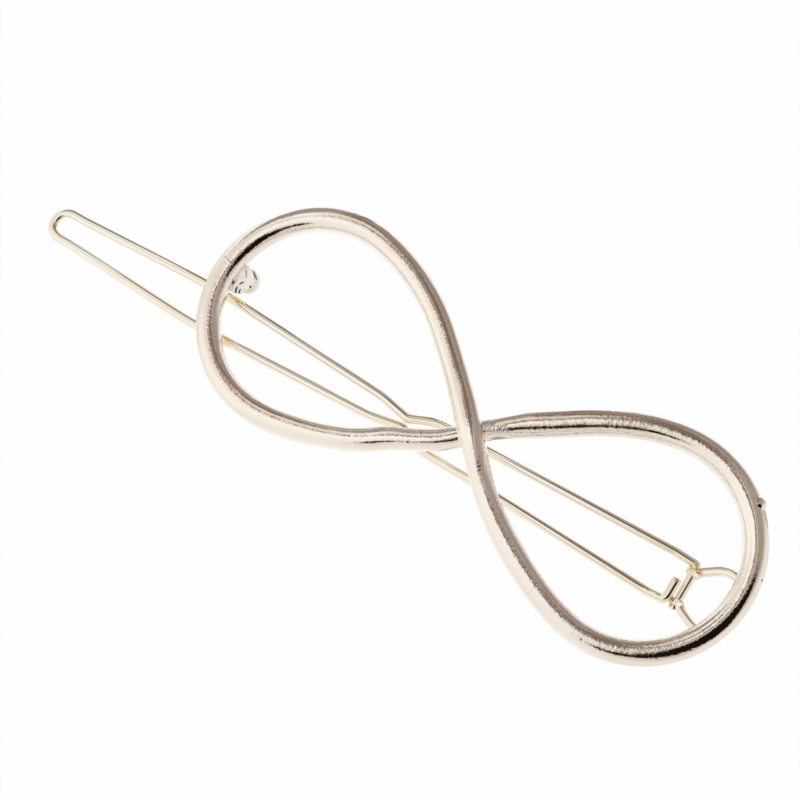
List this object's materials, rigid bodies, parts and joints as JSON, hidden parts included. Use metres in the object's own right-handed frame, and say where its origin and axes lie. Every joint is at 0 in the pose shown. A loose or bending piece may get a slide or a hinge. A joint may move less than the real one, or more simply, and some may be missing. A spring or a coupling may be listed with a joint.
{
  "type": "hair clip",
  "caption": "Hair clip: a pale gold figure-eight band with a crossing strand, and behind it a hinged U-shaped wire arm with a pinched waist and a grooved catch stud.",
  "frame": {"origin": "centre of the box round the clip at rest, in the plane on which it lies, under the catch stud's head and the bail's eyes", "axes": "+X along the band's long axis towards the hinge, +Z from the wire arm towards the decorated side of the band, +Y completes the right-handed frame"},
  "size_m": [0.0856, 0.025, 0.0067],
  "materials": {
    "plated_casting": "mirror-polished pale champagne-gold plating",
    "rough_casting": "pale champagne-gold plating over a rough, pitted surface",
    "gold_wire": "bright yellow-gold plating on spring wire"
  },
  "bodies": {
    "frame": {"frame_band": "plated_casting", "catch_stud": "rough_casting", "catch_solder": "rough_casting", "hinge_pad": "rough_casting", "bail": "gold_wire"},
    "arm": {"arm": "gold_wire"}
  },
  "joints": [
    {"name": "arm_hinge", "type": "hinge", "parent": "frame", "child": "arm", "pos_m": [0.03617, -0.00095, 0.0008], "axis": [0.0645, -0.9979, 0], "range_deg": [-1.4, 100]}
  ]
}
